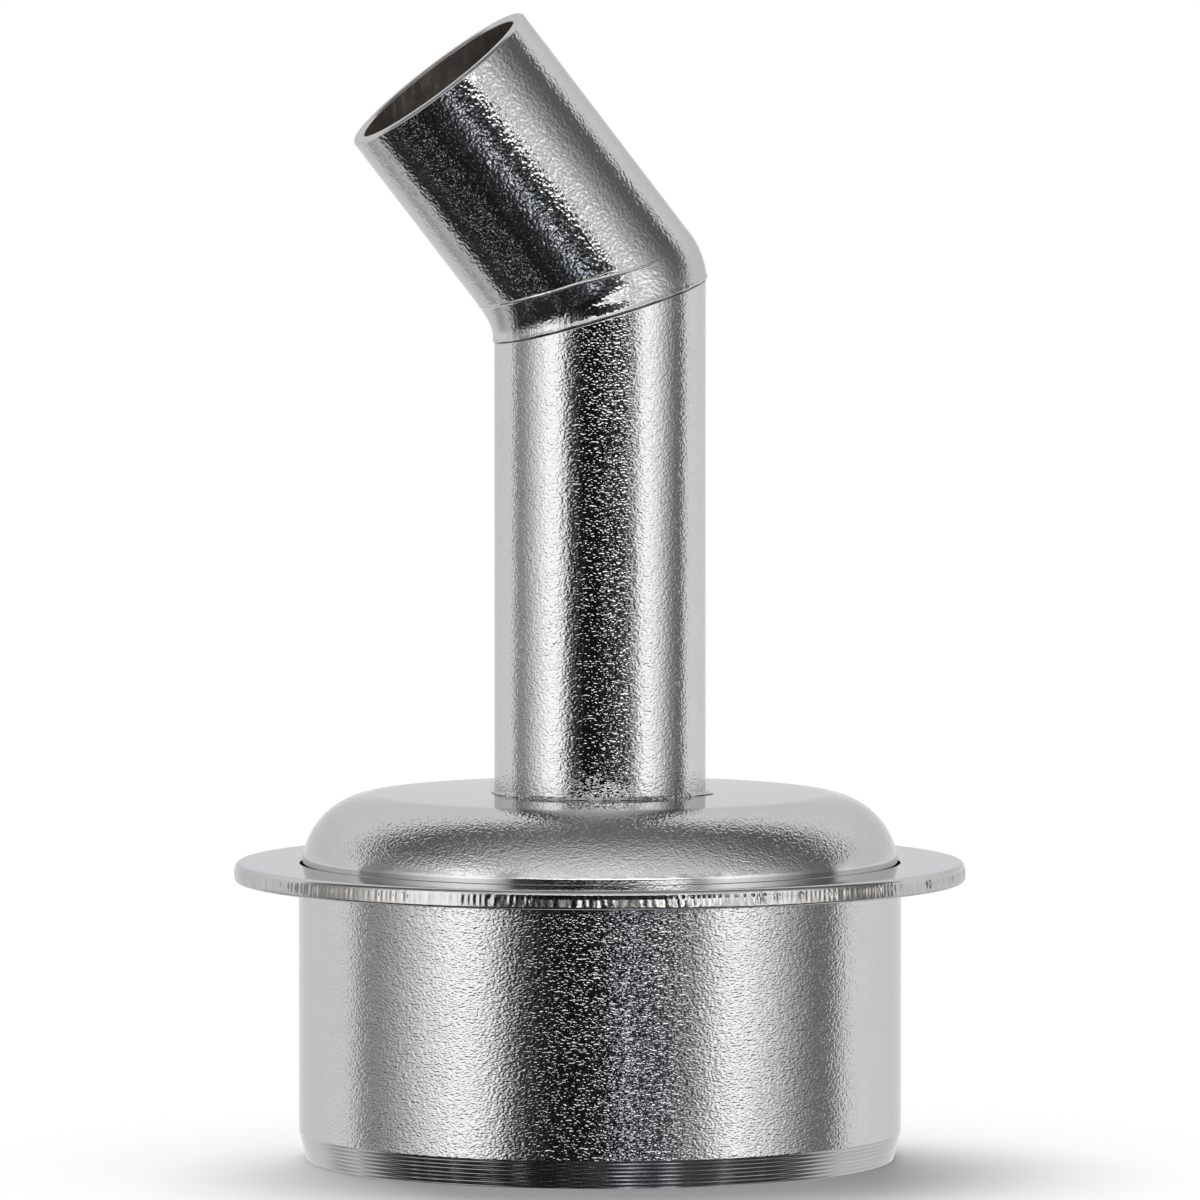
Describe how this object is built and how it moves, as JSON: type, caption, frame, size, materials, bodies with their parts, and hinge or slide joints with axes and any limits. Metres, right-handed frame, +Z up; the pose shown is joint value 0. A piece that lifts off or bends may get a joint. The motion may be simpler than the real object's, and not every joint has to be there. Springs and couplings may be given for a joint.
{
  "type": "angled hot air nozzle",
  "caption": "Push-in nozzle for a hot air rework gun: drawn cup with a flange stop, and a round tube with a bent tip that throws the air jet to one side.",
  "frame": {"origin": "centre of the cup's open rim, in the plane of the rim", "axes": "+Z up the axis of cup and riser, towards the tip; the tip leans towards -X in the XZ plane"},
  "size_m": [0.0394, 0.0394, 0.0617],
  "materials": {
    "bright_steel": "bright plated sheet with a fine orange-peel grain",
    "braze_metal": "plated braze, slightly rough"
  },
  "bodies": {
    "root": {"cup": "bright_steel", "flange_ring": "bright_steel", "flange_braze": "braze_metal", "riser_tube": "bright_steel", "foot_braze": "braze_metal", "elbow_collar": "bright_steel", "tip_tube": "bright_steel"}
  },
  "joints": []
}
